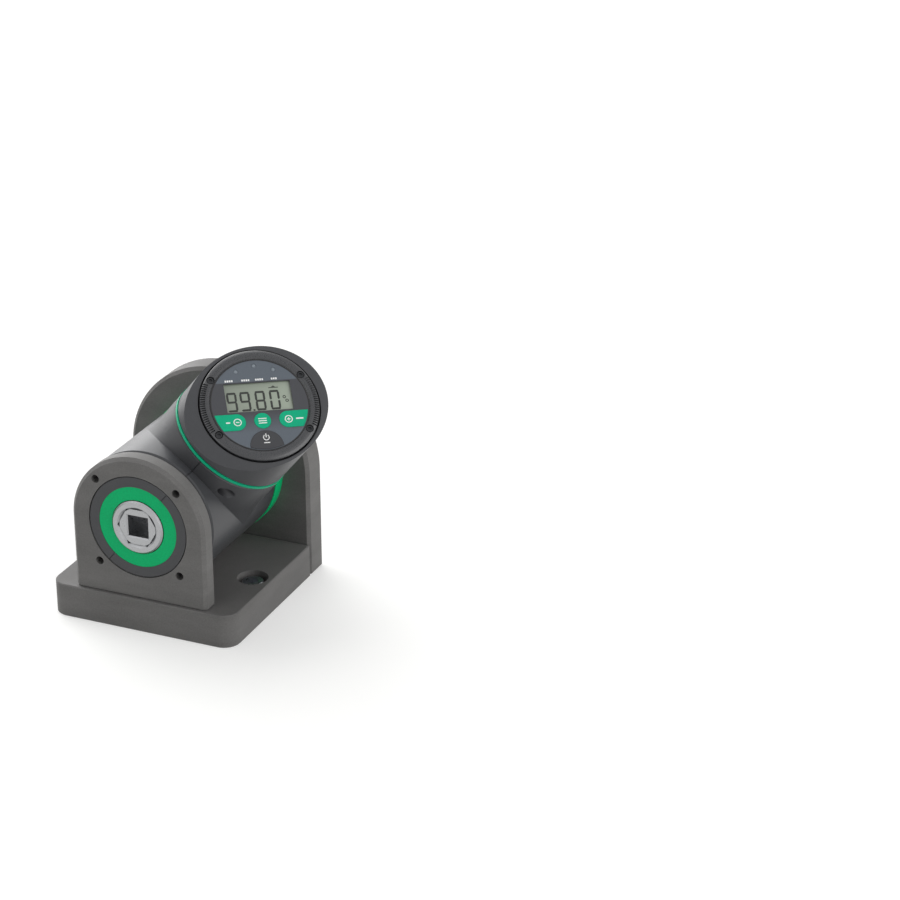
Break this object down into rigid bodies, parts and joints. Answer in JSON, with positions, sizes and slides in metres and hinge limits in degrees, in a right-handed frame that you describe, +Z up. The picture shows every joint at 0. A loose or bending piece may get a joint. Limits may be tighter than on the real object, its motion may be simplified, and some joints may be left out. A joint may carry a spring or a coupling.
{
  "type": "torque tester",
  "caption": "Bench torque tester: a fixed measuring shaft with a square drive between two standing plates, and a swivelling head with a slanted, turnable digital display.",
  "frame": {"origin": "centre of the base's underside, midway across the plates and midway between the front edge of the base and the back of the rear plate", "axes": "+X to the right as seen from the drive side, +Y from the drive towards the rear plate, +Z up"},
  "size_m": [0.1458, 0.121, 0.1539],
  "materials": {
    "plate_paint": "matte dark grey coating",
    "green_coat": "satin green coating",
    "housing_plastic": "satin dark grey",
    "green_plastic": "satin green",
    "steel": "bright machined",
    "dark_steel": "black oxide",
    "bronze": "turned",
    "rubber": "matte black",
    "board": "green lacquer",
    "foil": "amber film",
    "insulation": "red",
    "ivory_plastic": "plain",
    "cell_wrap": "shrink wrap",
    "lcd": "grey-green display",
    "lens": "clear lens, unlit",
    "panel": "matte foil"
  },
  "bodies": {
    "frame": {"base_plate": "plate_paint", "front_plate": "plate_paint", "rear_plate": "plate_paint", "bench_screws": "steel", "bench_washers": "steel", "front_plate_screws": "dark_steel", "rear_plate_screws": "dark_steel", "core_body": "green_coat", "front_cover": "green_coat", "core_screws": "dark_steel", "torque_shaft": "steel", "shaft_bush": "bronze", "square_adaptor": "steel", "anchor_flange": "dark_steel", "anchor_screws": "steel", "strain_gauges": "foil", "amplifier_board": "board", "gauge_leads": "insulation", "lead_winding": "rubber", "swivel_ring": "rubber"},
    "housing": {"housing_upper": "housing_plastic", "housing_lower": "housing_plastic", "housing_screws": "dark_steel", "signal_cable": "rubber", "cable_plug": "ivory_plastic"},
    "head": {"head_shell": "housing_plastic", "head_base": "housing_plastic", "head_base_screws": "dark_steel", "head_ring": "green_plastic", "thrust_washer": "ivory_plastic", "battery_cradle": "rubber", "battery_pack": "cell_wrap", "display_lead": "rubber"},
    "display": {"display_carrier": "housing_plastic", "display_clip": "steel", "circuit_board": "board", "key_domes": "steel", "lcd_module": "lcd", "status_lamps": "lens", "display_panel": "panel", "display_bezel": "housing_plastic", "bezel_screws": "dark_steel"},
    "left_key_body": {"left_key": "green_plastic"},
    "mode_key_body": {"mode_key": "green_plastic"},
    "right_key_body": {"right_key": "green_plastic"},
    "clear_key_body": {"clear_key": "rubber"}
  },
  "joints": [
    {"name": "swivel", "type": "hinge", "parent": "frame", "child": "housing", "pos_m": [0, -0.00215, 0.0664], "axis": [0, 1, 0], "range_deg": [-129.6, 50.4]},
    {"name": "head_turn", "type": "hinge", "parent": "housing", "child": "head", "pos_m": [0, -0.00215, 0.0664], "axis": [0.6374, 0, 0.7705], "range_deg": [-146.7, 173.3]},
    {"name": "display_turn", "type": "hinge", "parent": "head", "child": "display", "pos_m": [0.05253, -0.00215, 0.1299], "axis": [0.4551, -0.5012, 0.736], "range_deg": [-222.4, 97.6]},
    {"name": "left_key_press", "type": "slide", "parent": "display", "child": "left_key_body", "axis": [-0.4551, 0.5012, -0.736], "range_m": [0, 0.0004], "stiffness_N_per_m": 4000, "springref_m": -0.00002},
    {"name": "mode_key_press", "type": "slide", "parent": "display", "child": "mode_key_body", "axis": [-0.4551, 0.5012, -0.736], "range_m": [0, 0.0004], "stiffness_N_per_m": 4000, "springref_m": -0.00002},
    {"name": "right_key_press", "type": "slide", "parent": "display", "child": "right_key_body", "axis": [-0.4551, 0.5012, -0.736], "range_m": [0, 0.0004], "stiffness_N_per_m": 4000, "springref_m": -0.00002},
    {"name": "clear_key_press", "type": "slide", "parent": "display", "child": "clear_key_body", "axis": [-0.4551, 0.5012, -0.736], "range_m": [0, 0.0004], "stiffness_N_per_m": 4000, "springref_m": -0.00002}
  ]
}
